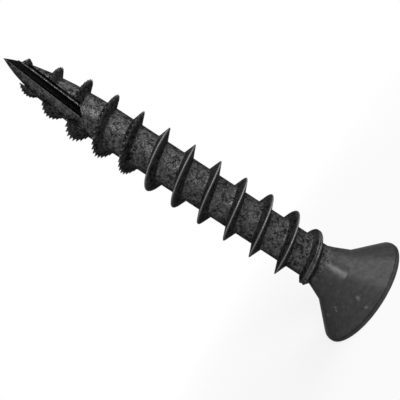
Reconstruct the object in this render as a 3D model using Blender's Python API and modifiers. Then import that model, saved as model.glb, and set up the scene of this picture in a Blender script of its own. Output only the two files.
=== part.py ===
"""A black countersunk wood screw, nominally 6 x 40 mm, standing on its head with its point up.

Blender 4.5. Metres, +Z up. The origin is the centre of the head's flat face, and +Z runs along the screw's
axis to the point. The slot of the cut point faces -Y. The thread is right-handed.

The screw is one solid. Its point, core and thread are one loft along the helix. The turned head and neck are
joined to it. The thread is cleared away over the slot, the slot is cut between its lips, and a six-lobe
drive recess is sunk into the head.
"""

import math

import bmesh
import bpy

MM = 0.001

# Overall
LENGTH = 40.0 * MM
CORE_RADIUS = 1.87 * MM
FACETS = 60

# Head, from its face upward: a rounded rim, a 90 degree cone, then a slimmer neck down to the core
HEAD_RADIUS = 5.29 * MM
FACE_EDGE = 0.05 * MM
FACE_EDGE_INSET = 0.06 * MM
RIM_FLAT_TOP = 0.25 * MM
RIM_MID = 0.39 * MM
RIM_MID_INSET = 0.05 * MM
RIM_TOP = 0.53 * MM
RIM_TOP_INSET = 0.18 * MM
CONE_HALF_ANGLE = math.radians(45.0)
CONE_END_RADIUS = 2.80 * MM
CONE_END = RIM_TOP + (HEAD_RADIUS - RIM_TOP_INSET - CONE_END_RADIUS) / math.tan(CONE_HALF_ANGLE)
NECK_MID = CONE_END + 1.52 * MM
NECK_MID_RADIUS = 2.11 * MM
NECK_END = CONE_END + 2.17 * MM
NECK_ROOT = NECK_END + 0.20 * MM
NECK_ROOT_INSET = 0.17 * MM
SHANK_FOOT = NECK_END - 2.0 * MM

# Point: distance behind the tip, radius
POINT_PROFILE = (
    (0.94 * MM, 0.400 * MM),
    (1.90 * MM, 0.735 * MM),
    (3.00 * MM, 1.020 * MM),
    (4.70 * MM, 1.355 * MM),
    (7.20 * MM, 1.650 * MM),
    (9.70 * MM, 1.820 * MM),
    (11.90 * MM, CORE_RADIUS),
)

# Thread: a ridge on a right-handed helix. Its first crest crosses the +X side CREST_AT_X behind the tip
THREAD_RADIUS = 3.06 * MM
PITCH = 2.84 * MM
CREST_AT_X = 2.46 * MM
CREST_HALF_WIDTH = 0.045 * MM
FILLET_HEIGHT = 0.13 * MM
FILLET_HEIGHT_LIMIT = 1 / 3
FILLET_TIP_SIDE = 0.42 * MM
FILLET_HEAD_SIDE = 0.47 * MM
FOOT_SPREAD = 0.10 * MM
LOW_CREST_LEAD = 0.50 * MM
STEPS_PER_TURN = 60
FIRST_RING = 0.25 * MM
THREAD_START = 1.45 * MM
THREAD_END = LENGTH - (NECK_END - 1.30 * MM)

# The crest on the point: distance behind the tip, radius
POINT_CREST = (
    (1.60 * MM, 0.60 * MM),
    (2.20 * MM, 1.30 * MM),
    (3.90 * MM, 1.87 * MM),
    (5.30 * MM, 2.34 * MM),
    (6.70 * MM, 2.42 * MM),
    (8.20 * MM, 2.90 * MM),
    (9.60 * MM, 3.01 * MM),
    (11.0 * MM, THREAD_RADIUS),
)

# The run-out at the neck: distance before the thread's end, radius of the crest
RUNOUT_LENGTH = 3.9 * MM
RUNOUT_CREST = (
    (RUNOUT_LENGTH, THREAD_RADIUS),
    (2.5 * MM, 2.64 * MM),
    (1.0 * MM, 2.46 * MM),
    (0.0, CORE_RADIUS),
)
RUNOUT_CREST_HALF_WIDTH = 0.30 * MM
RUNOUT_SPREAD = 0.3

# Serrations: V notches across the crest of the turns nearest the point, one on every other step
NOTCH_DEPTH = 0.32 * MM
NOTCH_DEPTH_HEAD_SIDE = 0.28 * MM
NOTCH_SET_BACK = 0.06 * MM
SERRATION_START = 2.9 * MM
SERRATION_END = 15.8 * MM

# Cut point: a V slot along the point, with a raised lip on each side and a shallow channel in place of the
# thread beside it
SLOT_FLOOR = 0.15 * MM
SLOT_FLOOR_WIDTH = 0.06 * MM
SLOT_FLARE = math.radians(15.5)
SLOT_LENGTH = 9.55 * MM
SLOT_CENTRE_X = 0.05 * MM
SLOT_CENTRE_BACK = 4.7 * MM
SLOT_SKEW = math.radians(5.4)
SLOT_END_SLANT = math.radians(42.0)
LIP_WIDTH = 0.14 * MM
LIP_HEIGHT = 0.09 * MM
LIP_START = 0.3 * MM
LIP_FLOOR = SLOT_FLOOR + 0.10 * MM
LIP_LENGTH = SLOT_LENGTH - 0.20 * MM
CHANNEL_WIDTH = 1.80 * MM
CHANNEL_LENGTH = SLOT_LENGTH + 0.15 * MM
CHANNEL_DEPTH = 0.04 * MM
CHANNEL_ASIDE = -0.12 * MM
TIP_OVERRUN = 0.06 * MM

# Drive recess: hexalobular number 30
DRIVE_OUTER_RADIUS = 2.80 * MM
DRIVE_INNER_RADIUS = 2.025 * MM
DRIVE_DEPTH = 2.30 * MM
DRIVE_CONE_DEPTH = 0.40 * MM
DRIVE_LOBES = 6
POINTS_PER_LOBE = 8

MERGE = 1e-6
CUT_MARGIN = 0.5 * MM


def remove_everything():
    for obj in list(bpy.data.objects):
        bpy.data.objects.remove(obj, do_unlink=True)


def collection(name, hidden=False):
    group = bpy.data.collections.new(name)
    bpy.context.scene.collection.children.link(group)
    group.hide_render = hidden
    return group


def black_coating():
    """Black phosphate under thin oil: near-black with a soft sheen."""
    material = bpy.data.materials.new("black_coating")
    material.use_nodes = True
    shader = material.node_tree.nodes["Principled BSDF"]
    shader.inputs["Base Color"].default_value = (0.022, 0.022, 0.023, 1.0)
    shader.inputs["Metallic"].default_value = 0.0
    shader.inputs["Roughness"].default_value = 0.38
    material.diffuse_color = (0.022, 0.022, 0.023, 1.0)
    return material


def add_object(name, mesh_builder, group):
    """A mesh object from a bmesh, with its faces turned outward."""
    bmesh.ops.recalc_face_normals(mesh_builder, faces=mesh_builder.faces)
    mesh = bpy.data.meshes.new(name)
    mesh_builder.to_mesh(mesh)
    mesh_builder.free()
    obj = bpy.data.objects.new(name, mesh)
    group.objects.link(obj)
    return obj


def apply_modifiers(obj):
    """Replaces the object's mesh with what its modifiers make of it."""
    graph = bpy.context.evaluated_depsgraph_get()
    mesh = bpy.data.meshes.new_from_object(obj.evaluated_get(graph))
    obj.modifiers.clear()
    obj.data = mesh


def combine(target, operation, other):
    modifier = target.modifiers.new(f"{operation.lower()}_{other.name}", "BOOLEAN")
    modifier.operation = operation
    modifier.solver = "EXACT"
    modifier.object = other


def turned(name, profile, facets, group):
    """A solid of revolution about Z. The profile lists (radius, height), top to bottom, on the +X side."""
    outline = bmesh.new()
    points = [outline.verts.new((radius, 0.0, height)) for radius, height in profile]
    for upper, lower in zip(points, points[1:]):
        outline.edges.new((upper, lower))
    mesh = bpy.data.meshes.new(name)
    outline.to_mesh(mesh)
    outline.free()
    obj = bpy.data.objects.new(name, mesh)
    group.objects.link(obj)
    screw = obj.modifiers.new("turn", "SCREW")
    screw.steps = screw.render_steps = facets
    screw.use_merge_vertices = True
    screw.merge_threshold = MERGE
    apply_modifiers(obj)
    return obj


def interpolate(table, at):
    """The second value of a table of pairs, on a straight line between the two rows around at."""
    for (low, first), (high, second) in zip(table, table[1:]):
        if at <= high:
            share = max(0.0, (at - low) / (high - low))
            return first + share * (second - first)
    return table[-1][1]


def core_radius(back):
    """The radius of the core at this distance behind the tip."""
    return interpolate(((0.0, 0.0),) + POINT_PROFILE, back)


def crest_radius(back):
    """The radius of the thread's crest at this distance behind the tip."""
    runout = tuple((THREAD_END - before, radius) for before, radius in RUNOUT_CREST)
    return interpolate(POINT_CREST + runout, back)


def thread_section(back, valley):
    """One turn's profile as (distance behind the tip, radius), from foot to foot by way of the crest.

    A valley is the bottom of a V notch: its crest is lower and set back from the side that faces the point.
    Where the ridge is low, at both its ends, its crest leads towards the point.
    """
    core = core_radius(back)
    height = max(crest_radius(back) - core, 0.0)
    full = THREAD_RADIUS - CORE_RADIUS
    lead = LOW_CREST_LEAD * max(0.0, 1.0 - height / full)
    runout = max(0.0, 1.0 - (THREAD_END - back) / RUNOUT_LENGTH)
    spread = 1.0 + RUNOUT_SPREAD * runout
    half = CREST_HALF_WIDTH + runout * (RUNOUT_CREST_HALF_WIDTH - CREST_HALF_WIDTH)
    fillet = min(FILLET_HEIGHT, height * FILLET_HEIGHT_LIMIT)
    notch = min(1.0, height / full) if valley else 0.0
    rows = [
        (-spread * (FILLET_TIP_SIDE + FOOT_SPREAD) - lead, 0.0),
        (-spread * FILLET_TIP_SIDE - lead, fillet),
        (-half - lead + notch * NOTCH_SET_BACK, height - notch * NOTCH_DEPTH),
        (half - lead, height - notch * NOTCH_DEPTH_HEAD_SIDE),
        (spread * FILLET_HEAD_SIDE - lead, fillet),
        (spread * (FILLET_HEAD_SIDE + FOOT_SPREAD) - lead, 0.0),
    ]
    return [(back + shift, core_radius(back + shift) + rise) for shift, rise in rows]


def shank(group):
    """The point, core and thread as one loft.

    Each step along the helix has one turn's profile, and its last row meets the first row of the next turn.
    """
    builder = bmesh.new()
    step = PITCH / STEPS_PER_TURN
    count = int((THREAD_END - THREAD_START) / step) + 1

    def point(index, back, radius):
        angle = (CREST_AT_X - THREAD_START - index * step) / PITCH * math.tau
        return builder.verts.new((radius * math.cos(angle), radius * math.sin(angle), LENGTH - back))

    columns = []
    for index in range(count):
        back = THREAD_START + index * step
        valley = index % 2 == 1 and SERRATION_START < back < SERRATION_END
        columns.append([point(index, *row) for row in thread_section(back, valley)])
    tip_ring = [point(index, FIRST_RING, core_radius(FIRST_RING)) for index in range(STEPS_PER_TURN)]
    end_ring = [point(index, LENGTH - SHANK_FOOT, CORE_RADIUS) for index in range(STEPS_PER_TURN)]

    def below(index):
        """The point under the last row of a column: the next turn, or the ring that ends the shank."""
        if index + STEPS_PER_TURN < count:
            return columns[index + STEPS_PER_TURN][0]
        return end_ring[index % STEPS_PER_TURN]

    for index in range(count - 1):
        left = columns[index] + [below(index)]
        right = columns[index + 1] + [below(index + 1)]
        if index + STEPS_PER_TURN == count - 1:
            under = end_ring[index % STEPS_PER_TURN]
            builder.faces.new((left[-2], right[-2], right[-1], under, *reversed(columns[count - 1])))
            left.pop()
        for row in range(len(left) - 1):
            builder.faces.new((left[row], right[row], right[row + 1], left[row + 1]))

    tip = builder.verts.new((0.0, 0.0, LENGTH))
    for index in range(STEPS_PER_TURN):
        after = (index + 1) % STEPS_PER_TURN
        builder.faces.new((tip, tip_ring[index], tip_ring[after]))
        if after:
            builder.faces.new((tip_ring[index], columns[index][0], columns[after][0], tip_ring[after]))
    last = STEPS_PER_TURN - 1
    builder.faces.new((tip_ring[last], columns[last][0], columns[STEPS_PER_TURN][0],
                       *reversed(columns[0]), tip_ring[0]))
    builder.faces.new(end_ring)
    return add_object("screw", builder, group)


def head(group):
    """The head and neck, turned. The neck's top is sunk in the shank."""
    return turned("head", [
        (0.0, NECK_ROOT),
        (CORE_RADIUS - NECK_ROOT_INSET, NECK_ROOT),
        (CORE_RADIUS, NECK_END),
        (NECK_MID_RADIUS, NECK_MID),
        (CONE_END_RADIUS, CONE_END),
        (HEAD_RADIUS - RIM_TOP_INSET, RIM_TOP),
        (HEAD_RADIUS - RIM_MID_INSET, RIM_MID),
        (HEAD_RADIUS, RIM_FLAT_TOP),
        (HEAD_RADIUS, FACE_EDGE),
        (HEAD_RADIUS - FACE_EDGE_INSET, 0.0),
        (0.0, 0.0),
    ], FACETS, group)


def slot_box(name, width, flare, floor, length, group, aside=0.0):
    """A wedge over the point's -Y side, skewed like the slot, its lower end slanted across the axis.

    The width is that of its floor, which lies this far in front of the axis, and the flare is the lean of
    each side wall. Its middle lies this far aside from the slot's.
    """
    builder = bmesh.new()
    far = THREAD_RADIUS + CUT_MARGIN
    top = SLOT_CENTRE_BACK + CUT_MARGIN
    bottom = SLOT_CENTRE_BACK - length
    corners = []
    for depth in (floor, far):
        half = width / 2 + math.tan(flare) * (depth - floor)
        for x in (-half, half):
            corners.append((x, -depth, top))
            corners.append((x, -depth, bottom + math.tan(SLOT_END_SLANT) * x))
    bmesh.ops.convex_hull(builder, input=[builder.verts.new(corner) for corner in corners])
    box = add_object(name, builder, group)
    box.location = (SLOT_CENTRE_X + aside, 0.0, LENGTH - SLOT_CENTRE_BACK)
    box.rotation_euler = (0.0, SLOT_SKEW, 0.0)
    return box


def thicker_point(name, extra, start, group):
    """The point as a solid of its own, thicker all round by extra.

    It starts this far behind the tip, or in front of it where start is negative.
    """
    skin = [(radius + extra, LENGTH - back) for back, radius in POINT_PROFILE]
    return turned(name, [(0.0, LENGTH - start)] + skin + [(0.0, skin[-1][1])], FACETS, group)


def slot_lips(group):
    """The metal that the slot pushes up along both its sides."""
    lips = thicker_point("slot_lips", LIP_HEIGHT, LIP_START, group)
    width = SLOT_FLOOR_WIDTH + 2 * LIP_WIDTH
    combine(lips, "INTERSECT", slot_box("lip_wedge", width, SLOT_FLARE, LIP_FLOOR, LIP_LENGTH, group))
    return lips


def channel_cutter(group):
    """The space over the slot that the thread leaves free, and a shallow channel under it."""
    cutter = slot_box(
        "channel_cutter", CHANNEL_WIDTH, 0.0, SLOT_FLOOR, CHANNEL_LENGTH, group, CHANNEL_ASIDE)
    combine(cutter, "DIFFERENCE", thicker_point("channel_floor", -CHANNEL_DEPTH, -TIP_OVERRUN, group))
    return cutter


def drive_outline():
    """The six-lobe outline, as (x, y) points: rounded lobes joined by rounded hollows."""
    middle = (DRIVE_OUTER_RADIUS + DRIVE_INNER_RADIUS) / 2
    swing = (DRIVE_OUTER_RADIUS - DRIVE_INNER_RADIUS) / 2
    count = DRIVE_LOBES * POINTS_PER_LOBE
    points = []
    for index in range(count):
        angle = math.tau * index / count
        radius = middle + swing * math.cos(DRIVE_LOBES * angle)
        points.append((radius * math.cos(angle), radius * math.sin(angle)))
    return points


def drive_cutter(group):
    """The recess as a solid: straight walls, then a shallow cone to its bottom."""
    builder = bmesh.new()
    outline = drive_outline()
    mouth = [builder.verts.new((x, y, -CUT_MARGIN)) for x, y in outline]
    floor = [builder.verts.new((x, y, DRIVE_DEPTH)) for x, y in outline]
    apex = builder.verts.new((0.0, 0.0, DRIVE_DEPTH + DRIVE_CONE_DEPTH))
    builder.faces.new(mouth)
    for index in range(len(outline)):
        after = (index + 1) % len(outline)
        builder.faces.new((mouth[index], mouth[after], floor[after], floor[index]))
        builder.faces.new((floor[index], floor[after], apex))
    return add_object("drive_cutter", builder, group)


def build():
    remove_everything()
    parts = collection("multi_purpose_screw")
    cutters = collection("cutters", hidden=True)

    screw = shank(parts)
    combine(screw, "UNION", head(cutters))
    combine(screw, "DIFFERENCE", channel_cutter(cutters))
    combine(screw, "UNION", slot_lips(cutters))
    combine(screw, "DIFFERENCE", slot_box(
        "slot_cutter", SLOT_FLOOR_WIDTH, SLOT_FLARE, SLOT_FLOOR, SLOT_LENGTH, cutters))
    combine(screw, "DIFFERENCE", drive_cutter(cutters))
    screw.data.materials.append(black_coating())
    for helper in cutters.objects:
        helper.display_type = "WIRE"
        helper.hide_render = True


build()
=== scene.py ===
# %% [markdown]
# # A black multi-purpose screw
#
# The real screw starts as a piece of steel wire. A press forms its head, rollers squeeze the thread up out of
# the shank, a cutter notches the point, and at last the whole screw is hardened and coated black. This lesson
# makes the same shape in the same order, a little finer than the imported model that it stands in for.

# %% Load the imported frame
import math

import bpy
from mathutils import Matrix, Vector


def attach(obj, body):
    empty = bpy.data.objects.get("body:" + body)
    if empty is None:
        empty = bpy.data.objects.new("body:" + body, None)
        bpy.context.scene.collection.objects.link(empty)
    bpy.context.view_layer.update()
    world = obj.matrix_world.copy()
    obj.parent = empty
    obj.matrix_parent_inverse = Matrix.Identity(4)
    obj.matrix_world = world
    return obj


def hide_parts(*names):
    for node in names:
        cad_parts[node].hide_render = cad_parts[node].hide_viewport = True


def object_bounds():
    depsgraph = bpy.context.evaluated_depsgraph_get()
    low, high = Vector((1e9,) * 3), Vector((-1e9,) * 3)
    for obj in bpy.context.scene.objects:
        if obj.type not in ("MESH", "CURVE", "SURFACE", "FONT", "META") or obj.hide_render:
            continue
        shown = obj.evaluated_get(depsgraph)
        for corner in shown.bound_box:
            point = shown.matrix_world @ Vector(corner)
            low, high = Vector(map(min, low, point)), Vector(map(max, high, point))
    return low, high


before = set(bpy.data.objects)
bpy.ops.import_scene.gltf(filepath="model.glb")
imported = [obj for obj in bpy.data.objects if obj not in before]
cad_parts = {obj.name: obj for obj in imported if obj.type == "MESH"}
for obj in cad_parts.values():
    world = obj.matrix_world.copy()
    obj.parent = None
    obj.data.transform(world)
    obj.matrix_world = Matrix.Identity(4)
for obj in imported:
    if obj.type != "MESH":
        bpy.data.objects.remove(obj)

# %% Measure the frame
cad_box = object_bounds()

MM = 0.001
LENGTH = cad_box[1].z
HEAD_RADIUS = cad_box[1].x
print("The packed screw is", round(LENGTH / MM, 2), "mm long and its head",
      round(2 * HEAD_RADIUS / MM, 2), "mm wide")


# %% [markdown]
# ## Small helpers
#
# An operator acts on everything that is selected, so each new piece starts with nothing selected. A modifier
# is applied as soon as it has done its work, as a modeller would with the Apply button.

# %% Helpers for modelling
def start_afresh():
    if bpy.context.object and bpy.context.object.mode != "OBJECT":
        bpy.ops.object.mode_set(mode="OBJECT")
    bpy.ops.object.select_all(action="DESELECT")


def make_active(piece):
    start_afresh()
    piece.select_set(True)
    bpy.context.view_layer.objects.active = piece


def apply_boolean(piece, operation, tool):
    """Joins, cuts or trims the piece with the tool, which is then thrown away."""
    make_active(piece)
    modifier = piece.modifiers.new(tool.name, "BOOLEAN")
    modifier.operation = operation
    modifier.solver = "EXACT"
    modifier.object = tool
    bpy.ops.object.modifier_apply(modifier=modifier.name)
    bpy.data.objects.remove(tool, do_unlink=True)


def interpolate(table, at):
    """The second value of a table of pairs, on a straight line between the two rows around at."""
    if at <= table[0][0]:
        return table[0][1]
    for (low, first), (high, second) in zip(table, table[1:]):
        if at <= high:
            return first + (at - low) / (high - low) * (second - first)
    return table[-1][1]


# %% [markdown]
# ## The shank: a threaded rod
#
# A thread is one short outline carried round the axis while it climbs. It could be swept along a curve, but
# the Screw modifier does just that and keeps all the turns in step, which later steps build on. So one pitch
# of the outline is drawn, vertex by vertex, and wound up into a straight threaded rod. The rod is longer than
# the screw at both ends, and two bisect cuts trim it.

# %% Sizes of the rod
CORE_RADIUS = 1.87 * MM
THREAD_RADIUS = 3.06 * MM
PITCH = 2.84 * MM
CREST_AT_X = 2.46 * MM
STEPS_PER_TURN = 180
TURNS = 15
SHANK_FOOT = 3.0 * MM
TIP_FLAT = 0.02 * MM
HAIR = 0.001 * MM

RIDGE = THREAD_RADIUS - CORE_RADIUS
HALF_CREST = 0.045 * MM
FILLET = 0.13 * MM
TIP_SIDE_FILLET = 0.42 * MM
HEAD_SIDE_FILLET = 0.47 * MM
FOOT_SPREAD = 0.10 * MM

# How far along the flank, from fillet to crest, each row lies
FLANK_ROWS = (0.0, 0.33, 0.66, 0.92)
# Distance from the crest along the axis, over half a pitch, of the rows on the plain core
CORE_ROWS = (0.56, 0.70, 0.85, 1.0)
# How much of the fillet's height and spread is left at its middle row
FILLET_MIDDLE = (0.22, 0.45)
# How much of the crest's half width and of the ridge's height the row beside the crest has
CREST_SHOULDER = (0.8, 0.985)


def side_of_ridge(fillet_at):
    """One side of the outline as (distance from the crest, height above the core), from core to crest."""
    half_pitch = PITCH / 2
    foot = fillet_at + FOOT_SPREAD
    rows = [(half_pitch * share, 0.0) for share in reversed(CORE_ROWS)]
    rows.append((foot, 0.0))
    rows.append((fillet_at + FOOT_SPREAD * FILLET_MIDDLE[1], FILLET * FILLET_MIDDLE[0]))
    for share in FLANK_ROWS:
        rows.append((fillet_at + share * (HALF_CREST - fillet_at), FILLET + share * (RIDGE - FILLET)))
    rows.append((HALF_CREST * CREST_SHOULDER[0], RIDGE * CREST_SHOULDER[1]))
    return rows


def one_pitch():
    """The outline of one turn as (distance from the crest towards the head, height above the core)."""
    tip_side = [(-distance, height) for distance, height in side_of_ridge(TIP_SIDE_FILLET)]
    head_side = list(reversed(side_of_ridge(HEAD_SIDE_FILLET)))
    return tip_side + [(0.0, RIDGE)] + head_side


# %% [markdown]
# The teeth of the thread come every 12 degrees. The rod is turned a little, so that a column of its vertices
# meets the bottom of each notch and another meets the top of each tooth.

# %% Wind the rod
TEETH_PER_TURN = 30
NOTCH_ANGLE = math.radians(2.03)


def wind_rod():
    start_afresh()
    lowest_turn = round((LENGTH - CREST_AT_X) / PITCH)
    crest = LENGTH - CREST_AT_X - lowest_turn * PITCH + PITCH * NOTCH_ANGLE / math.tau
    outline = [(CORE_RADIUS + height, crest - distance) for distance, height in one_pitch()]
    bpy.ops.mesh.primitive_plane_add(size=MM)
    rod = bpy.context.object
    rod.name = "coated_screw"
    bpy.ops.object.mode_set(mode="EDIT")
    bpy.ops.mesh.select_all(action="SELECT")
    bpy.ops.mesh.merge(type="CENTER")
    bpy.ops.transform.translate(value=(outline[0][0], 0.0, outline[0][1]))
    for (radius, height), (next_radius, next_height) in zip(outline, outline[1:]):
        step = (next_radius - radius, 0.0, next_height - height)
        bpy.ops.mesh.extrude_region_move(TRANSFORM_OT_translate={"value": step})
    bpy.ops.object.mode_set(mode="OBJECT")

    winding = rod.modifiers.new("winding", "SCREW")
    winding.angle = math.tau
    winding.screw_offset = PITCH
    winding.iterations = TURNS
    winding.steps = winding.render_steps = STEPS_PER_TURN
    bpy.ops.object.modifier_apply(modifier=winding.name)
    rod.rotation_euler.z = NOTCH_ANGLE
    bpy.ops.object.transform_apply(location=True, rotation=True, scale=True)
    return rod


def trim_rod(rod):
    """Cuts the rod off at the point's tip and inside the head, and closes both ends."""
    make_active(rod)
    bpy.ops.object.mode_set(mode="EDIT")
    bpy.ops.mesh.select_all(action="SELECT")
    bpy.ops.mesh.remove_doubles(threshold=HAIR)
    for height, keep_above in ((LENGTH - TIP_FLAT, False), (SHANK_FOOT, True)):
        bpy.ops.mesh.select_all(action="SELECT")
        bpy.ops.mesh.bisect(
            plane_co=(0.0, 0.0, height), plane_no=(0.0, 0.0, 1.0), use_fill=True,
            clear_inner=keep_above, clear_outer=not keep_above, threshold=HAIR / 10)
    bpy.ops.mesh.select_all(action="SELECT")
    bpy.ops.mesh.normals_make_consistent(inside=False)
    bpy.ops.object.mode_set(mode="OBJECT")


screw = wind_rod()
trim_rod(screw)
print("The threaded rod has", len(screw.data.vertices), "vertices")


# %% [markdown]
# ## The point, the run-out and the teeth
#
# A thread roller gives the point its taper, lets the thread grow out of it, and presses teeth into the first
# turns. No modifier knows those rules, and 30 teeth to the turn are dull work by hand, so one loop visits
# each vertex. It asks where the vertex lies along the screw and across its ridge, and moves it to the radius
# that the real screw has there.

# %% Sizes of the point, the run-out and the teeth
# Distance behind the tip, radius of the core
POINT = (
    (0.0, 0.0), (0.94 * MM, 0.400 * MM), (1.90 * MM, 0.735 * MM), (3.00 * MM, 1.020 * MM),
    (4.70 * MM, 1.355 * MM), (7.20 * MM, 1.650 * MM), (9.70 * MM, 1.820 * MM), (11.90 * MM, CORE_RADIUS),
)
THREAD_START = 1.45 * MM
THREAD_END = 36.3 * MM
RUNOUT = 3.9 * MM
# Distance behind the tip, radius of the crest
CREST = (
    (1.60 * MM, 0.60 * MM), (2.20 * MM, 1.30 * MM), (3.90 * MM, 1.87 * MM), (5.30 * MM, 2.34 * MM),
    (6.70 * MM, 2.42 * MM), (8.20 * MM, 2.90 * MM), (9.60 * MM, 3.01 * MM), (11.0 * MM, THREAD_RADIUS),
    (THREAD_END - RUNOUT, THREAD_RADIUS), (THREAD_END - 2.5 * MM, 2.64 * MM),
    (THREAD_END - 1.0 * MM, 2.46 * MM), (THREAD_END, CORE_RADIUS),
)
LOW_CREST_LEAD = 0.50 * MM
RUNOUT_HALF_CREST = 0.30 * MM
RUNOUT_SPREAD = 0.3
RUNOUT_SEAM = 0.16 * MM
# The seam is at its full depth after this part of the run-out, and only the crest's own row sinks into it
SEAM_GROWTH = 1 / 4
SEAM_RISE = 0.995
FILLET_LIMIT = 1 / 3
STILL_FOOT = 0.7 * MM

NOTCH_DEPTH = 0.36 * MM
# How steeply the bottom of a notch falls away from the crest, on the tip's side and on the head's side
NOTCH_SLOPES = (2.5, 0.4)
TOOTH_HALF_CREST = 0.02 * MM
NOTCH_ROUNDNESS = 2.2
TEETH_START = 2.9 * MM
TEETH_END = 15.8 * MM


def ridge_at(crest_back):
    """Height, lead towards the tip, spread, half crest and fillet of the ridge with its crest here."""
    height = interpolate(CREST, crest_back) - interpolate(POINT, crest_back)
    height = max(height, 0.0) if crest_back > THREAD_START else 0.0
    lead = LOW_CREST_LEAD * max(0.0, 1.0 - height / RIDGE)
    runout = max(0.0, 1.0 - (THREAD_END - crest_back) / RUNOUT)
    half_crest = HALF_CREST + min(runout, 1.0) * (RUNOUT_HALF_CREST - HALF_CREST)
    if crest_back < TEETH_END:
        half_crest = TOOTH_HALF_CREST
    spread = 1.0 + RUNOUT_SPREAD * min(runout, 1.0)
    return height, lead, spread, half_crest, min(FILLET, height * FILLET_LIMIT)


def notch_at(crest_back, angle):
    """How deep the notch is here, from nothing at the top of a tooth to its full depth."""
    if not TEETH_START < crest_back < TEETH_END:
        return 0.0
    turned = (angle - NOTCH_ANGLE) / math.tau * TEETH_PER_TURN
    from_bottom = 2 * abs(turned - round(turned))
    return NOTCH_DEPTH * (1.0 - from_bottom ** NOTCH_ROUNDNESS)


def shape_vertex(position):
    angle = math.atan2(position.y, position.x)
    back = LENGTH - position.z
    rise = (math.hypot(position.x, position.y) - CORE_RADIUS) / RIDGE
    across = (back - CREST_AT_X + PITCH * angle / math.tau + PITCH / 2) % PITCH - PITCH / 2
    height, lead, spread, half_crest, fillet = ridge_at(back - across)

    half_pitch = PITCH / 2
    tip_foot = TIP_SIDE_FILLET + FOOT_SPREAD
    head_foot = HEAD_SIDE_FILLET + FOOT_SPREAD
    moved = interpolate((
        (-half_pitch, -half_pitch),
        (-tip_foot, -tip_foot * spread - lead),
        (-HALF_CREST, -half_crest - lead),
        (HALF_CREST, half_crest - lead),
        (head_foot, head_foot * spread - lead),
        (half_pitch, half_pitch),
    ), across)
    freedom = min(1.0, back / THREAD_START, (LENGTH - SHANK_FOOT - back) / STILL_FOOT)
    new_back = max(back + (moved - across) * max(freedom, 0.0), TIP_FLAT)
    new_radius = interpolate(POINT, new_back)
    if height > 0.0 and rise > 0.0:
        new_rise = interpolate(((0.0, 0.0), (FILLET / RIDGE, fillet / height), (1.0, 1.0)), rise) * height
        notch = min(1.0, height / RIDGE) * notch_at(back - across, angle)
        cut = height - notch - NOTCH_SLOPES[across > 0.0] * abs(across) * notch / NOTCH_DEPTH
        new_radius += min(new_rise, max(cut, fillet)) if notch > 0.0 else new_rise
        if rise > SEAM_RISE:
            runout = max(0.0, 1.0 - (THREAD_END - back + across) / RUNOUT)
            new_radius -= RUNOUT_SEAM * min(runout / SEAM_GROWTH, 1.0) * min(1.0, height / RIDGE)
    return (new_radius * math.cos(angle), new_radius * math.sin(angle), LENGTH - new_back)


# %% Shape the rod
for vertex in screw.data.vertices:
    vertex.co = shape_vertex(vertex.co)
screw.data.update()
print("The point is shaped, and the first turns have", TEETH_PER_TURN, "teeth each")


# %% [markdown]
# ## The head and neck
#
# The head is a cone that sinks flush into the wood, with a slimmer neck above it. A fine groove runs round
# the rim, where the press's two dies met. Such a shape could be spun from half its outline. Here a circle is
# extruded upwards ring by ring, as a potter pulls up a wall, because each ring then has its own plain size.
# The ring where the cone meets the neck is bevelled.

# %% Sizes of the head
HEAD_SIDES = 144
FACE_EDGE = 0.05 * MM
FACE_EDGE_INSET = 0.06 * MM
RIM_FLAT_TOP = 0.25 * MM
RIM_GROOVE = 0.31 * MM
RIM_GROOVE_INSET = 0.07 * MM
RIM_MID = 0.39 * MM
RIM_MID_INSET = 0.05 * MM
RIM_TOP = 0.53 * MM
RIM_TOP_INSET = 0.18 * MM
CONE_END_RADIUS = 2.80 * MM
CONE_END = RIM_TOP + (HEAD_RADIUS - RIM_TOP_INSET - CONE_END_RADIUS)
CONE_END_ROUNDING = 0.12 * MM
NECK_MID = CONE_END + 1.52 * MM
NECK_MID_RADIUS = 2.11 * MM
NECK_END = CONE_END + 2.17 * MM
NECK_ROOT = NECK_END + 0.20 * MM
NECK_ROOT_RADIUS = CORE_RADIUS - 0.17 * MM


def pull_up(rings):
    """Starts from a filled circle at the first (radius, height) and extrudes it through the others."""
    start_afresh()
    first_radius, first_height = rings[0]
    bpy.ops.mesh.primitive_circle_add(
        vertices=HEAD_SIDES, radius=first_radius, fill_type="NGON", location=(0.0, 0.0, first_height))
    piece = bpy.context.object
    bpy.ops.object.transform_apply(location=True, rotation=True, scale=True)
    bpy.ops.object.mode_set(mode="EDIT")
    bpy.ops.mesh.select_all(action="SELECT")
    for (radius, height), (next_radius, next_height) in zip(rings, rings[1:]):
        bpy.ops.mesh.extrude_region_move(
            TRANSFORM_OT_translate={"value": (0.0, 0.0, next_height - height)})
        bpy.ops.transform.resize(
            value=(next_radius / radius, next_radius / radius, 1.0), center_override=(0.0, 0.0, 0.0))
    bpy.ops.mesh.select_all(action="SELECT")
    bpy.ops.mesh.normals_make_consistent(inside=False)
    bpy.ops.object.mode_set(mode="OBJECT")
    return piece


def round_ring(piece, height, width):
    """Bevels the ring of edges that lies at this height."""
    make_active(piece)
    bpy.ops.object.mode_set(mode="EDIT")
    bpy.ops.mesh.select_all(action="DESELECT")
    bpy.ops.object.mode_set(mode="OBJECT")
    for edge in piece.data.edges:
        ends = [piece.data.vertices[index].co.z for index in edge.vertices]
        edge.select = all(abs(end - height) < HAIR for end in ends)
    bpy.ops.object.mode_set(mode="EDIT")
    bpy.ops.mesh.bevel(offset=width, segments=2, profile=0.5, affect="EDGES")
    bpy.ops.object.mode_set(mode="OBJECT")


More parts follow.
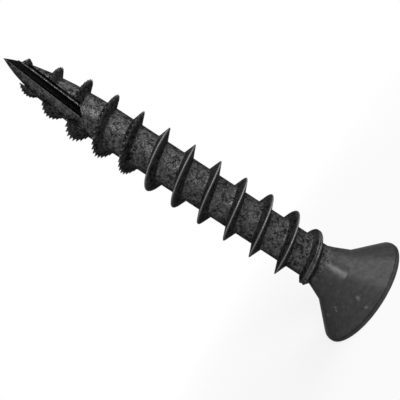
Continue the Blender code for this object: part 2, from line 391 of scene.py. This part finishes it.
# %% Make the head and join it to the shank
head = pull_up((
    (HEAD_RADIUS - FACE_EDGE_INSET, 0.0),
    (HEAD_RADIUS, FACE_EDGE),
    (HEAD_RADIUS, RIM_FLAT_TOP),
    (HEAD_RADIUS - RIM_GROOVE_INSET, RIM_GROOVE),
    (HEAD_RADIUS - RIM_MID_INSET, RIM_MID),
    (HEAD_RADIUS - RIM_TOP_INSET, RIM_TOP),
    (CONE_END_RADIUS, CONE_END),
    (NECK_MID_RADIUS, NECK_MID),
    (CORE_RADIUS, NECK_END),
    (NECK_ROOT_RADIUS, NECK_ROOT),
))
head.name = "head"
round_ring(head, CONE_END, CONE_END_ROUNDING)
apply_boolean(screw, "UNION", head)
print("The head is on:", len(screw.data.vertices), "vertices")


# %% [markdown]
# ## The cut point
#
# A slot along the point lets the screw cut its own way into hard wood and clears the chips. The tool that
# makes it throws up a low lip on each side, clears the thread beside it, and scores a groove along the upper
# lip. Booleans leave the flat walls and sharp edges of a real cut, which pushing vertices by hand wouldn't.
# Cubes shaped into wedges do all the cuts, and the lips are the part of a slightly thicker point that lies
# inside a wider wedge.

# %% Sizes of the slot
SLOT_FLOOR = 0.15 * MM
SLOT_FLOOR_WIDTH = 0.54 * MM
SLOT_FLARE = math.radians(3.0)
SLOT_LENGTH = 9.55 * MM
SLOT_CENTRE_X = 0.055 * MM
SLOT_CENTRE_BACK = 4.7 * MM
SLOT_SKEW = math.radians(3.9)
SLOT_END_SLANT = math.radians(42.0)
LIP_WIDTH = 0.09 * MM
LIP_HEIGHT = 0.07 * MM
LIP_START = 0.3 * MM
CHANNEL_WIDTH = 1.90 * MM
CHANNEL_ASIDE = -0.27 * MM
CHANNEL_DEPTH = 0.05 * MM
GROOVE_WIDTH = 0.22 * MM
GROOVE_ASIDE = 0.56 * MM
GROOVE_DEPTH = 0.17 * MM
GROOVE_START = 2.0 * MM
CUT_MARGIN = 0.5 * MM
# The channel's floor tapers to a point just past the tip, and the groove's floor just short of it
CHANNEL_FLOOR_START = -0.06 * MM
GROOVE_FLOOR_START = 0.06 * MM
CHANNEL_LENGTH = SLOT_LENGTH + 0.15 * MM
LIP_FLOOR = SLOT_FLOOR + 0.10 * MM
LIP_LENGTH = SLOT_LENGTH - 0.20 * MM


def wedge(name, width, flare, floor, length, aside=0.0, start=-CUT_MARGIN):
    """A cube shaped to lie over the -Y side of the point, leaning with the slot."""
    start_afresh()
    bpy.ops.mesh.primitive_cube_add(size=2.0)
    tool = bpy.context.object
    tool.name = name
    far = THREAD_RADIUS + CUT_MARGIN
    top = SLOT_CENTRE_BACK - start
    bottom = SLOT_CENTRE_BACK - length
    for vertex in tool.data.vertices:
        side, front, up = vertex.co
        depth = far if front < 0 else floor
        half = width / 2 + math.tan(flare) * (depth - floor)
        x = aside + (half if side > 0 else -half)
        vertex.co = (x, -depth, top if up > 0 else bottom + math.tan(SLOT_END_SLANT) * x)
    tool.location = (SLOT_CENTRE_X, 0.0, LENGTH - SLOT_CENTRE_BACK)
    tool.rotation_euler = (0.0, SLOT_SKEW, 0.0)
    bpy.ops.object.transform_apply(location=True, rotation=True, scale=True)
    return tool


def thicker_point(name, extra, start):
    """The point without its thread, thicker all round by extra, from this far behind the tip."""
    rings = [(radius + extra, LENGTH - back) for back, radius in reversed(POINT[1:])]
    piece = pull_up(rings + [(HAIR, LENGTH - start)])
    piece.name = name
    return piece


# %% Clear the thread, add the lips and cut the slot
channel = wedge("channel", CHANNEL_WIDTH, 0.0, SLOT_FLOOR, CHANNEL_LENGTH, CHANNEL_ASIDE)
apply_boolean(channel, "DIFFERENCE", thicker_point("channel_floor", -CHANNEL_DEPTH, CHANNEL_FLOOR_START))
apply_boolean(screw, "DIFFERENCE", channel)

lips = thicker_point("slot_lips", LIP_HEIGHT, LIP_START)
lip_wedge = wedge("lip_wedge", SLOT_FLOOR_WIDTH + 2 * LIP_WIDTH, SLOT_FLARE, LIP_FLOOR, LIP_LENGTH)
apply_boolean(lips, "INTERSECT", lip_wedge)
apply_boolean(screw, "UNION", lips)

groove = wedge("groove", GROOVE_WIDTH, 0.0, SLOT_FLOOR, SLOT_LENGTH, GROOVE_ASIDE, GROOVE_START)
apply_boolean(groove, "DIFFERENCE", thicker_point("groove_floor", -GROOVE_DEPTH, GROOVE_FLOOR_START))
apply_boolean(screw, "DIFFERENCE", groove)

slot_cutter = wedge("slot_cutter", SLOT_FLOOR_WIDTH, SLOT_FLARE, SLOT_FLOOR, SLOT_LENGTH)
apply_boolean(screw, "DIFFERENCE", slot_cutter)
print("The slot is cut:", len(screw.data.vertices), "vertices")


# %% [markdown]
# ## The drive recess
#
# A punch presses a six-lobe recess into the head's face, where the driver's bit goes. It never shows from the
# side, but a screw without it would be no screw. It could be extruded inwards from the face. Here a separate
# punch, a circle pulled up and pushed into six lobes, is cut out of the head, much as the real one works.

# %% Sink the recess
DRIVE_OUTER_RADIUS = 2.80 * MM
DRIVE_INNER_RADIUS = 2.025 * MM
DRIVE_DEPTH = 2.30 * MM
DRIVE_CONE_DEPTH = 0.40 * MM
DRIVE_CONE_END = 0.01
DRIVE_LOBES = 6
MOUTH_EDGE = 0.08 * MM


def drive_cutter():
    middle = (DRIVE_OUTER_RADIUS + DRIVE_INNER_RADIUS) / 2
    swing = (DRIVE_OUTER_RADIUS - DRIVE_INNER_RADIUS) / 2
    flare = 1.0 + (CUT_MARGIN + MOUTH_EDGE) / middle
    tool = pull_up((
        (middle * flare, -CUT_MARGIN),
        (middle, MOUTH_EDGE),
        (middle, DRIVE_DEPTH),
        (middle * DRIVE_CONE_END, DRIVE_DEPTH + DRIVE_CONE_DEPTH),
    ))
    tool.name = "drive_cutter"
    for vertex in tool.data.vertices:
        angle = math.atan2(vertex.co.y, vertex.co.x)
        lobe = 1.0 + swing / middle * math.cos(DRIVE_LOBES * angle)
        vertex.co.x *= lobe
        vertex.co.y *= lobe
    return tool


apply_boolean(screw, "DIFFERENCE", drive_cutter())
print("The recess is sunk:", len(screw.data.polygons), "faces")

# %% Smooth the round faces and keep the sharp edges
SMOOTH_ANGLE = math.radians(32.0)
make_active(screw)
bpy.ops.object.shade_smooth_by_angle(angle=SMOOTH_ANGLE)
print("Edges sharper than", round(math.degrees(SMOOTH_ANGLE)), "degrees stay sharp")


# %% [markdown]
# ## Wear with painted highlights, and painted shade
#
# Screws rub on each other in the box. That polishes what stands out, such as the crests of the thread and
# the slot's lower lip, and their lighter colour is partly that wear and partly a painted highlight. The slot,
# the groove, the flanks and the rim's groove are darkened with painted shade. This could be painted by hand,
# but a rule gives the same result on each run. Each vertex remembers its wear and highlight, and each face
# its painted shade, as a number from 0 to 1 that the material reads later.

# %% Note the wear, the painted highlights and the painted shade
# Only the lower lip of the slot is lightened, partly as wear and partly as a painted highlight
LOWER_LIP_WEAR_AND_HIGHLIGHT = 0.15
# The top share of the ridge's height that is lightened by wear and a painted highlight, on a plain crest and
# on a tooth
CREST_WEAR_AND_HIGHLIGHT_SHARE = 0.12
TOOTH_WEAR_AND_HIGHLIGHT_SHARE = 0.25
# How much wear and painted highlight the run-out's crest gets, next to a full crest
RUNOUT_WEAR_AND_HIGHLIGHT = 0.2
# Painted shade: how far the rim's groove and the thread's flanks are darkened
RIM_PAINTED_SHADE = 0.25
FLANK_PAINTED_SHADE = 0.50
# Only what lies above this height gets wear and a painted highlight
WEAR_AND_HIGHLIGHT_FROM = NECK_END - 0.1 * MM
# Nothing closer to the core than the first gets wear or a painted highlight, and a ridge counts as at least
# as high as the second
NO_WEAR_OR_HIGHLIGHT_BELOW = 0.2 * MM
LOWEST_RIDGE = 0.1 * MM
# The flank of a ridge, from this height above the core to this share of the crest's height
FLANK_FOOT = 0.1 * MM
FLANK_TOP = 0.85
# How far past the cuts' own sizes a vertex or face still counts as part of them
REACH = 0.02 * MM
END_REACH = 0.05 * MM


def skin_at(back):
    """Radius of the point or core without thread, at this distance behind the tip."""
    return interpolate(POINT, back)


def slot_centre_at(position):
    """Where along X the middle of the slot lies here."""
    return SLOT_CENTRE_X - math.tan(SLOT_SKEW) * (LENGTH - position.z - SLOT_CENTRE_BACK)


def beside_slot(position):
    """Distance sideways from the slot's edge at this height above its floor, less than 0 inside it."""
    half = SLOT_FLOOR_WIDTH / 2 + math.tan(SLOT_FLARE) * max(-position.y - SLOT_FLOOR, 0.0)
    return abs(position.x - slot_centre_at(position)) - half


def over_slot(position):
    """Whether this is on the slot's side and before its slanted end."""
    end = SLOT_LENGTH - math.tan(SLOT_END_SLANT) * (position.x - slot_centre_at(position))
    return position.y < -SLOT_FLOOR / 2 and LENGTH - position.z < end + END_REACH


def ridge_around(position):
    """How far this lies above the core, how high the ridge's crest does, and how far back that crest is."""
    back = LENGTH - position.z
    angle = math.atan2(position.y, position.x)
    across = (back - CREST_AT_X + PITCH * angle / math.tau + PITCH / 2) % PITCH - PITCH / 2
    proud = math.hypot(position.x, position.y) - skin_at(back)
    return proud, max(ridge_at(back - across)[0], LOWEST_RIDGE), back - across


def wear_and_highlight_at(position):
    """How much the crest or lip here is lightened, partly by wear and partly as a painted highlight."""
    proud, height, crest_back = ridge_around(position)
    if position.z < WEAR_AND_HIGHLIGHT_FROM:
        return 0.0
    if over_slot(position) and beside_slot(position) < LIP_WIDTH + REACH:
        on_lower_lip = proud >= LIP_HEIGHT / 2 and position.x <= slot_centre_at(position)
        return LOWER_LIP_WEAR_AND_HIGHLIGHT if on_lower_lip else 0.0
    if proud < NO_WEAR_OR_HIGHLIGHT_BELOW:
        return 0.0
    share = TOOTH_WEAR_AND_HIGHLIGHT_SHARE if TEETH_START < crest_back < TEETH_END else CREST_WEAR_AND_HIGHLIGHT_SHARE
    most = RUNOUT_WEAR_AND_HIGHLIGHT if crest_back > THREAD_END - RUNOUT else 1.0
    return most * min(max((proud / height - 1.0 + share) / share, 0.0), 1.0)


def painted_shade_at(face):
    """Painted shade: 1 inside the slot and the groove beside its upper lip, less on flanks and in the rim's
    groove.
    """
    place = face.center
    if place.z < NECK_END:
        on_rim = math.hypot(place.x, place.y) > HEAD_RADIUS - RIM_TOP_INSET
        return RIM_PAINTED_SHADE if on_rim and RIM_FLAT_TOP < place.z < RIM_MID else 0.0
    if over_slot(place):
        across_groove = abs(place.x - slot_centre_at(place) - GROOVE_ASIDE)
        sunk = skin_at(LENGTH - place.z) - math.hypot(place.x, place.y)
        grooved = across_groove < GROOVE_WIDTH / 2 + REACH and sunk > CHANNEL_DEPTH + REACH / 2
        if grooved or beside_slot(place) < REACH / 2:
            return 1.0
    proud, height, crest_back = ridge_around(place)
    return FLANK_PAINTED_SHADE if FLANK_FOOT < proud < FLANK_TOP * height else 0.0


# Wear with painted highlight on each vertex, painted shade on each face
wear_and_highlight = screw.data.attributes.new("wear_and_highlight", "FLOAT", "POINT")
for vertex in screw.data.vertices:
    wear_and_highlight.data[vertex.index].value = wear_and_highlight_at(vertex.co)
sheltered = screw.data.attributes.new("sheltered", "FLOAT", "FACE")
for face in screw.data.polygons:
    sheltered.data[face.index].value = painted_shade_at(face)
print("Rubbed vertices:", sum(item.value > 0.3 for item in wear_and_highlight.data),
      "and sheltered faces:", sum(item.value > 0.5 for item in sheltered.data))


# %% [markdown]
# ## The black coating
#
# Black phosphate is grown on the steel in a bath and then oiled. It is a crust of tiny crystals: near-black,
# grainy under the oil, with a soft sheen rather than a mirror. The thread was rolled, and its coating is
# patchy with small dark pits. The head's cone was pressed smooth, and its coating is even. A picture could be
# wrapped round the screw, but noise worked out in space has no seam and keeps its size in millimetres.

# %% Helpers for materials
def from_hex(text):
    """An sRGB colour such as 1e1e1f as the linear colour that Blender's sockets take."""
    channels = [int(text[place:place + 2], 16) / 255 for place in (0, 2, 4)]
    linear = [value / 12.92 if value <= 0.04045 else ((value + 0.055) / 1.055) ** 2.4 for value in channels]
    return (*linear, 1.0)


def add_node(tree, kind, inputs=None, **settings):
    """Adds a node, sets its properties, and fills or links its inputs by name."""
    node = tree.nodes.new(kind)
    for name, value in settings.items():
        setattr(node, name, value)
    for name, value in (inputs or {}).items():
        if isinstance(value, bpy.types.NodeSocket):
            tree.links.new(value, node.inputs[name])
        else:
            node.inputs[name].default_value = value
    return node


def new_material(name):
    material = bpy.data.materials.new(name)
    material.use_nodes = True
    shader = material.node_tree.nodes["Principled BSDF"]
    return material, material.node_tree, shader


# %% Scuffs on the head's cone
# Where knocks in the box have bared small spots of the cone, and how wide they are, in millimetres
SCUFFS = (
    ((-0.66, -4.10, 1.49), 0.20), ((-0.91, -4.81, 0.74), 0.17), ((-3.44, -1.43, 1.91), 0.13),
    ((-2.43, -2.57, 2.10), 0.13), ((-2.60, -2.66, 1.90), 0.11),
)
SCUFF_EDGE_GRAIN = 0.2 * MM
SCUFF_EDGE_SWING = 0.15 * MM
SCUFF_STRENGTH = 0.55


def scuff_marks(tree, place):
    """Most in the middle of each bared spot, fading to 0 at its ragged edge."""
    ragged = add_node(tree, "ShaderNodeTexNoise", {
        "Vector": place, "Scale": 1 / SCUFF_EDGE_GRAIN, "Detail": 2.0}).outputs["Color"]
    place = add_node(tree, "ShaderNodeVectorMath", {
        0: ragged, 1: [2 * SCUFF_EDGE_SWING] * 3, 2: place}, operation="MULTIPLY_ADD").outputs["Vector"]
    place = add_node(tree, "ShaderNodeVectorMath", {
        0: place, 1: [SCUFF_EDGE_SWING] * 3}, operation="SUBTRACT").outputs["Vector"]
    marks = None
    for centre, radius in SCUFFS:
        away = add_node(tree, "ShaderNodeVectorMath", {
            0: place, 1: [value * MM for value in centre]}, operation="DISTANCE")
        spot = add_node(tree, "ShaderNodeMapRange", {
            "Value": away.outputs["Value"], "From Min": 0.3 * radius * MM, "From Max": 1.2 * radius * MM,
            "To Min": SCUFF_STRENGTH, "To Max": 0.0}).outputs["Result"]
        marks = spot if marks is None else add_node(
            tree, "ShaderNodeMath", {0: marks, 1: spot}, operation="MAXIMUM").outputs[0]
    return marks


# %% Mix the coating
# The real crystals are a few hundredths of a millimetre wide, too fine to show here. So the grain is drawn
# some five times coarser than it is. The patches and pits are as large as they look in the photograph.
GRAIN = 0.17 * MM
GRAIN_RELIEF = 0.06 * MM
MOTTLE = 0.40 * MM
PITS = 0.55 * MM
SMOOTH_HEAD = 0.03


def black_phosphate():
    """Oiled black phosphate: mostly a matt crust, part dark metal, with no glare at its edges."""
    material, tree, shader = new_material("oiled_black_phosphate")
    place = add_node(tree, "ShaderNodeTexCoord").outputs["Object"]
    wear_and_highlight = add_node(tree, "ShaderNodeAttribute", attribute_name="wear_and_highlight").outputs["Fac"]
    sheltered = add_node(tree, "ShaderNodeAttribute", attribute_name="sheltered").outputs["Fac"]
    height = add_node(tree, "ShaderNodeSeparateXYZ", {"Vector": place}).outputs["Z"]
    rolled = add_node(tree, "ShaderNodeMapRange", {
        "Value": height, "From Min": NECK_MID - 0.3 * MM, "From Max": NECK_END + 0.3 * MM,
        "To Min": SMOOTH_HEAD, "To Max": 1.0}).outputs["Result"]

    grain = add_node(tree, "ShaderNodeTexNoise", {
        "Vector": place, "Scale": 1 / GRAIN, "Detail": 2.0, "Roughness": 0.5}).outputs["Fac"]
    mottle = add_node(tree, "ShaderNodeTexNoise", {
        "Vector": place, "Scale": 1 / MOTTLE, "Detail": 3.0, "Roughness": 0.6}).outputs["Fac"]
    even = add_node(tree, "ShaderNodeMapRange", {
        "Value": mottle, "From Min": 0.3, "From Max": 0.7, "To Min": 0.31, "To Max": 0.50}).outputs["Result"]
    patchy = add_node(tree, "ShaderNodeMath", {0: mottle, 1: grain}, operation="ADD").outputs[0]
    patchy = add_node(tree, "ShaderNodeMapRange", {
        "Value": patchy, "From Min": 0.7, "From Max": 1.2, "To Min": 0.0, "To Max": 1.0}).outputs["Result"]
    pits = add_node(tree, "ShaderNodeTexNoise", {
        "Vector": place, "Scale": 1 / PITS, "Detail": 4.0, "Roughness": 0.75,
        "Distortion": 1.2}).outputs["Fac"]
    pits = add_node(tree, "ShaderNodeMapRange", {
        "Value": pits, "From Min": 0.52, "From Max": 0.60, "To Min": 1.0, "To Max": 0.15}).outputs["Result"]
    pitted = add_node(tree, "ShaderNodeMath", {0: patchy, 1: pits}, operation="MULTIPLY").outputs[0]
    crust_level = add_node(tree, "ShaderNodeMix", {"Factor": rolled, 2: even, 3: pitted}).outputs[0]
    crust = add_node(tree, "ShaderNodeValToRGB", {"Fac": crust_level})
    crust.color_ramp.elements[0].position, crust.color_ramp.elements[0].color = 0.0, from_hex("141415")
    crust.color_ramp.elements[1].position, crust.color_ramp.elements[1].color = 1.0, from_hex("5e5e5f")

    # Crests and the lower lip are lightened by wear and a painted highlight, and the cone's scuffs by wear
    wear_and_highlight_mask = add_node(tree, "ShaderNodeMath", {0: wear_and_highlight, 1: scuff_marks(tree, place)}, operation="MAXIMUM")
    worn_and_highlit = add_node(tree, "ShaderNodeMix", {
        "Factor": wear_and_highlight_mask.outputs[0], 6: crust.outputs["Color"], 7: from_hex("7c7c7e")}, data_type="RGBA")
    # Painted shade darkens the slot, the groove beside the upper lip, the flanks and the rim's groove
    painted_shade_colour = add_node(tree, "ShaderNodeMix", {
        "Factor": sheltered, 6: worn_and_highlit.outputs[2], 7: from_hex("0f0f10")}, data_type="RGBA")
    bump = add_node(tree, "ShaderNodeBump", {
        "Height": grain, "Strength": rolled, "Distance": GRAIN_RELIEF})
    shader.inputs["Metallic"].default_value = 0.38
    shader.inputs["Roughness"].default_value = 0.26
    shader.inputs["Specular IOR Level"].default_value = 0.0
    edge_sheen = add_node(tree, "ShaderNodeMix", {
        "Factor": rolled, 6: from_hex("b4b4b4"), 7: from_hex("303030")}, data_type="RGBA")
    tree.links.new(edge_sheen.outputs[2], shader.inputs["Specular Tint"])
    tree.links.new(painted_shade_colour.outputs[2], shader.inputs["Base Color"])
    tree.links.new(bump.outputs["Normal"], shader.inputs["Normal"])
    return material


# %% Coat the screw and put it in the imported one's place
screw.data.materials.clear()
screw.data.materials.append(black_phosphate())
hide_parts("screw")
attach(screw, "root")
print("The screw is coated")


# %% [markdown]
# ## The floor and the light
#
# The photograph has a plain white ground. A brightly lit floor would spoil the light on the screw, so the
# floor and the room look white only to the eye, and the light that falls on the screw stays plain. Close to
# the screw the floor is partly real card, which catches the contact shadow.

# %% Floor
def seen_directly(tree):
    """1 for a ray from the camera, a reflection or clear glass, and 0 for light that falls on the object."""
    ray = add_node(tree, "ShaderNodeLightPath")
    either = add_node(tree, "ShaderNodeMath", {
        0: ray.outputs["Is Camera Ray"], 1: ray.outputs["Is Glossy Ray"]}, operation="MAXIMUM")
    return add_node(tree, "ShaderNodeMath", {
        0: either.outputs[0], 1: ray.outputs["Is Transmission Ray"]}, operation="MAXIMUM").outputs[0]


SHADOW_SHARE = 0.2
SHADOW_START = 0.01
SHADOW_REACH = 0.09


def white_card():
    """Matt white card that glows white to the eye. Near the screw a share of it is plain, with shadows."""
    material, tree, shader = new_material("white_card")
    shader.inputs["Base Color"].default_value = from_hex("fcfcfc")
    shader.inputs["Roughness"].default_value = 0.9
    shader.inputs["Specular IOR Level"].default_value = 0.0
    place = add_node(tree, "ShaderNodeTexCoord").outputs["Object"]
    distance = add_node(tree, "ShaderNodeVectorMath", {0: place}, operation="LENGTH")
    share = add_node(tree, "ShaderNodeMapRange", {
        "Value": distance.outputs["Value"], "From Min": SHADOW_START, "From Max": SHADOW_REACH,
        "To Min": 1.0 - SHADOW_SHARE, "To Max": 1.0}, interpolation_type="SMOOTHSTEP")
    seen = add_node(tree, "ShaderNodeMath", {
        0: seen_directly(tree), 1: share.outputs["Result"]}, operation="MULTIPLY")
    glow = add_node(tree, "ShaderNodeEmission", {"Color": (1.0, 1.0, 1.0, 1.0), "Strength": 1.0})
    mix = add_node(tree, "ShaderNodeMixShader", {
        0: seen.outputs[0], 1: shader.outputs[0], 2: glow.outputs[0]})
    tree.links.new(mix.outputs[0], tree.nodes["Material Output"].inputs["Surface"])
    return material


FLOOR_SIZE = 3.0
start_afresh()
bpy.ops.mesh.primitive_plane_add(size=FLOOR_SIZE)
floor = bpy.context.object
floor.name = "floor"
floor.data.materials.append(white_card())
print("The floor is laid,", FLOOR_SIZE, "m wide")


# %% World
ROOM_LIGHT = 0.15
world = bpy.data.worlds.new("studio")
bpy.context.scene.world = world
world.use_nodes = True
sky = world.node_tree
strength = add_node(sky, "ShaderNodeMapRange", {
    "Value": seen_directly(sky), "To Min": ROOM_LIGHT, "To Max": 1.0})
background = sky.nodes["Background"]
background.inputs["Color"].default_value = (1.0, 1.0, 1.0, 1.0)
sky.links.new(strength.outputs["Result"], background.inputs["Strength"])
print("The room lights the screw at", ROOM_LIGHT, "of white")


# %% [markdown]
# Two soft boxes light the screw. The small one stands near the camera and above it in the picture, and
# draws the bright streak on the neck. The wide one shines from straight above in the picture, on the cone and
# on the thread's upper side. A sun would give hard edges that the photograph doesn't have.

# %% Lamps
LAMP_DISTANCE = 0.30


def soft_box(name, aim, toward, size, brightness):
    """A lamp that shines on aim from (turn to the right, lift) in degrees. Glowing white card is 1 bright."""
    turn, lift = (math.radians(value) for value in toward)
    data = bpy.data.lights.new(name, "AREA")
    data.shape = "RECTANGLE"
    data.size, data.size_y = size
    data.energy = brightness * math.pi * size[0] * size[1]
    lamp = bpy.data.objects.new(name, data)
    bpy.context.scene.collection.objects.link(lamp)
    direction = (math.sin(turn) * math.cos(lift), -math.cos(turn) * math.cos(lift), math.sin(lift))
    lamp.location = [centre + LAMP_DISTANCE * part for centre, part in zip(aim, direction)]
    lamp.rotation_euler = (math.radians(90.0) - lift, 0.0, turn)
    return lamp


MIDDLE = (0.0, 0.0, LENGTH / 2)
soft_box("key", MIDDLE, (20.0, 31.0), (0.10, 0.15), 10.0)
soft_box("top", MIDDLE, (83.0, 42.0), (0.30, 0.30), 2.4)
print("Two lamps are hung", LAMP_DISTANCE, "m from the screw")


# %% [markdown]
# ## The camera
#
# The photograph shows the screw from its side, with the tip at the upper left. A camera could be moved by eye
# until the picture fits. Here its place is worked out from two things measured in the photograph, the pixel
# where the tip lies and the slope of the screw's axis, and from how far along the screw the camera faces it.
# The shift then puts the tip on its pixel.

# %% Camera
# A pixel's size on the screw's axis
PIXEL = 0.093545 * MM
IMAGE_SIZE = 400
TILT = math.radians(33.1)
TIP_PIXEL = (3.15, 58.0)
# In pixels: the place that the camera faces squarely, from the tip along the axis and across it, and how
# far the camera is from there
FOOT_ALONG = 268
FOOT_ACROSS = -3
DISTANCE = 430

camera_data = bpy.data.cameras.new("camera")
camera = bpy.data.objects.new("camera", camera_data)
bpy.context.scene.collection.objects.link(camera)
bpy.context.scene.camera = camera
camera.location = (FOOT_ACROSS * PIXEL, -DISTANCE * PIXEL, LENGTH - FOOT_ALONG * PIXEL)
camera.rotation_euler = (math.radians(90.0), math.radians(90.0) - TILT, 0.0)
SENSOR_WIDTH = 36.0
camera_data.sensor_width = SENSOR_WIDTH
camera_data.lens = SENSOR_WIDTH * DISTANCE / IMAGE_SIZE
foot_x = TIP_PIXEL[0] + FOOT_ALONG * math.cos(TILT) + FOOT_ACROSS * math.sin(TILT)
foot_y = TIP_PIXEL[1] + FOOT_ALONG * math.sin(TILT) - FOOT_ACROSS * math.cos(TILT)
camera_data.shift_x = (IMAGE_SIZE / 2 - foot_x) / IMAGE_SIZE
camera_data.shift_y = (foot_y - IMAGE_SIZE / 2) / IMAGE_SIZE
camera_data.clip_start = 1 * MM
bpy.context.scene.view_settings.view_transform = "Standard"
print("The camera stands", round(DISTANCE * PIXEL / MM, 1), "mm in front of the screw")
